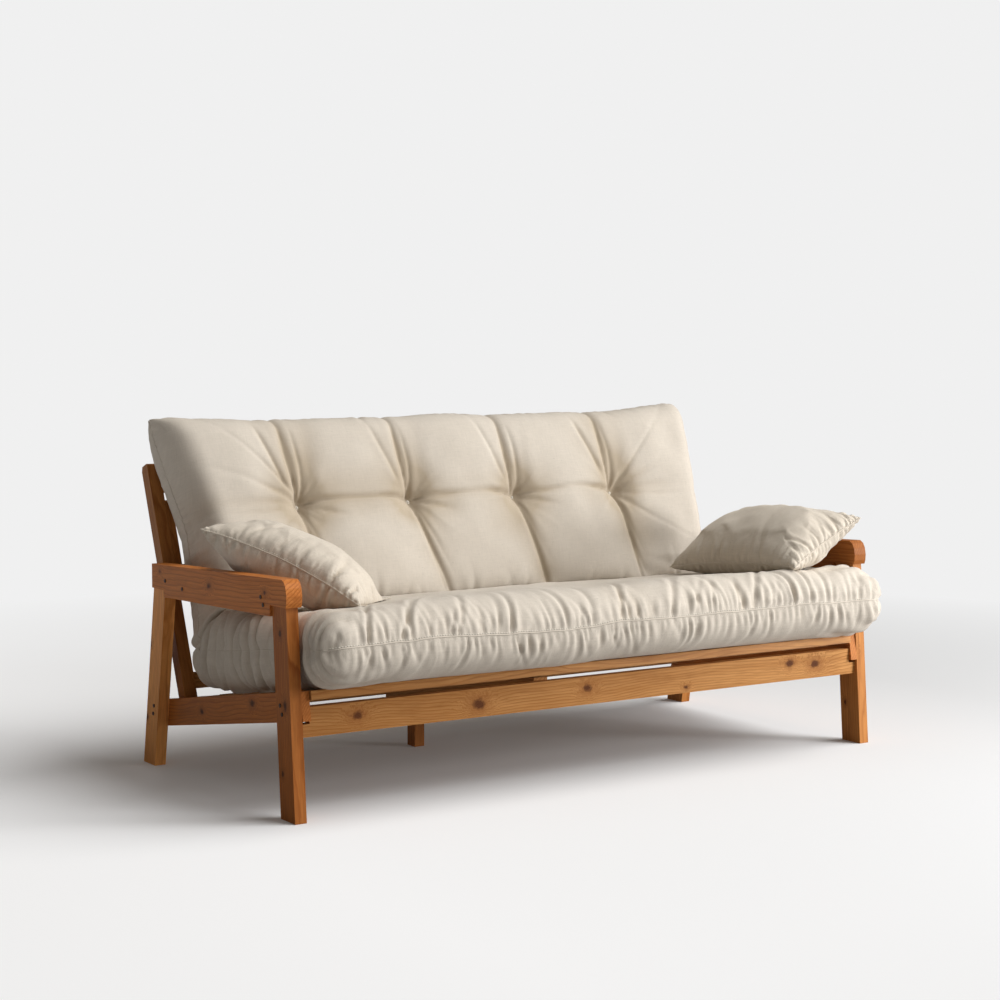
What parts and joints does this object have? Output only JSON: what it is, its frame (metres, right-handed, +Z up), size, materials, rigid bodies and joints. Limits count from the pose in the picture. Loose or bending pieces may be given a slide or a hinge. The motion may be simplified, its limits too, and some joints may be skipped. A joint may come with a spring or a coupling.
{
  "type": "futon sofa bed",
  "caption": "Pine-framed sofa with a folding slatted back that turns into a flat bed, a thick tufted futon over seat and back, and a loose pillow on each arm.",
  "frame": {"origin": "middle of the sofa's outline on the floor: halfway along it and halfway between the front of the futon and the rear of the back stiles", "axes": "+X to the right as seen by someone facing the sofa, +Y from front to back, +Z up"},
  "size_m": [2.016, 1.1712, 1.0311],
  "materials": {
    "oiled_pine": "oiled pine with knots",
    "slat_pine": "sanded pine",
    "dark_steel": "dark waxed steel",
    "bright_steel": "zinc plated steel",
    "futon_cotton": "woven cotton and linen, oatmeal",
    "pillow_cotton": "woven cotton and linen, oatmeal",
    "tie_thread": "twisted cotton thread"
  },
  "bodies": {
    "base_frame": {"leg_front_left": "oiled_pine", "leg_front_right": "oiled_pine", "leg_rear_left": "oiled_pine", "leg_rear_right": "oiled_pine", "arm_left": "oiled_pine", "arm_right": "oiled_pine", "side_rail_left": "oiled_pine", "side_rail_right": "oiled_pine", "front_apron": "oiled_pine", "rear_rail": "oiled_pine", "centre_spine": "oiled_pine", "centre_leg": "oiled_pine", "arm_screws": "dark_steel", "leg_bolts": "dark_steel", "seat_pivot_pins": "dark_steel"},
    "seat_deck": {"seat_front_rail": "slat_pine", "seat_batten_left": "slat_pine", "seat_batten_right": "slat_pine", "seat_front_ledger": "slat_pine", "seat_rear_ledger": "slat_pine", "seat_slat_1": "slat_pine", "seat_slat_2": "slat_pine", "seat_slat_3": "slat_pine", "seat_slat_4": "slat_pine", "seat_slat_5": "slat_pine", "seat_slat_6": "slat_pine", "seat_slat_7": "slat_pine", "seat_slat_8": "slat_pine", "seat_slat_9": "slat_pine", "seat_slat_10": "slat_pine", "hinge_plate_left": "bright_steel", "hinge_plate_right": "bright_steel", "back_pivot_pins": "bright_steel", "futon_seat": "futon_cotton"},
    "back_deck": {"stile_left": "oiled_pine", "stile_right": "oiled_pine", "back_low_rail": "slat_pine", "back_top_rail": "slat_pine", "back_slat_1": "slat_pine", "back_slat_2": "slat_pine", "back_slat_3": "slat_pine", "back_slat_4": "slat_pine", "back_slat_5": "slat_pine", "back_slat_6": "slat_pine", "back_slat_7": "slat_pine", "back_slat_8": "slat_pine", "back_slat_9": "slat_pine", "back_slat_10": "slat_pine", "prop_brackets": "bright_steel", "prop_pins": "bright_steel"},
    "futon_top": {"futon_back": "futon_cotton", "tuft_ties": "tie_thread"},
    "prop_legs": {"prop_leg_left": "slat_pine", "prop_leg_right": "slat_pine", "prop_bar": "slat_pine"},
    "left_pillow": {"pillow_left": "pillow_cotton"},
    "right_pillow": {"pillow_right": "pillow_cotton"}
  },
  "joints": [
    {"name": "back_fold", "type": "hinge", "parent": "seat_deck", "child": "back_deck", "pos_m": [0, 0.30377, 0.184], "axis": [-1, 0, 0], "range_deg": [0, 78.5]},
    {"name": "seat_level", "type": "hinge", "parent": "base_frame", "child": "seat_deck", "pos_m": [0, -0.46224, 0.3203], "axis": [1, 0, 0], "range_deg": [0, 9.5]},
    {"name": "futon_fold", "type": "hinge", "parent": "seat_deck", "child": "futon_top", "pos_m": [0, 0.19676, 0.37123], "axis": [-1, 0, 0], "range_deg": [0, 78.5]},
    {"name": "prop_fold", "type": "hinge", "parent": "back_deck", "child": "prop_legs", "pos_m": [0, 0.56564, 0.74759], "axis": [1, 0, 0], "range_deg": [0, 90]},
    {"name": "left_pillow_lift", "type": "slide", "parent": "seat_deck", "child": "left_pillow", "axis": [0, 0, 1], "range_m": [0, 0.3]},
    {"name": "right_pillow_lift", "type": "slide", "parent": "seat_deck", "child": "right_pillow", "axis": [0, 0, 1], "range_m": [0, 0.3]}
  ],
  "couplings": [
    {"joint": "seat_level", "follows": "back_fold", "ratio": 0.12102},
    {"joint": "futon_fold", "follows": "back_fold", "ratio": 1}
  ]
}
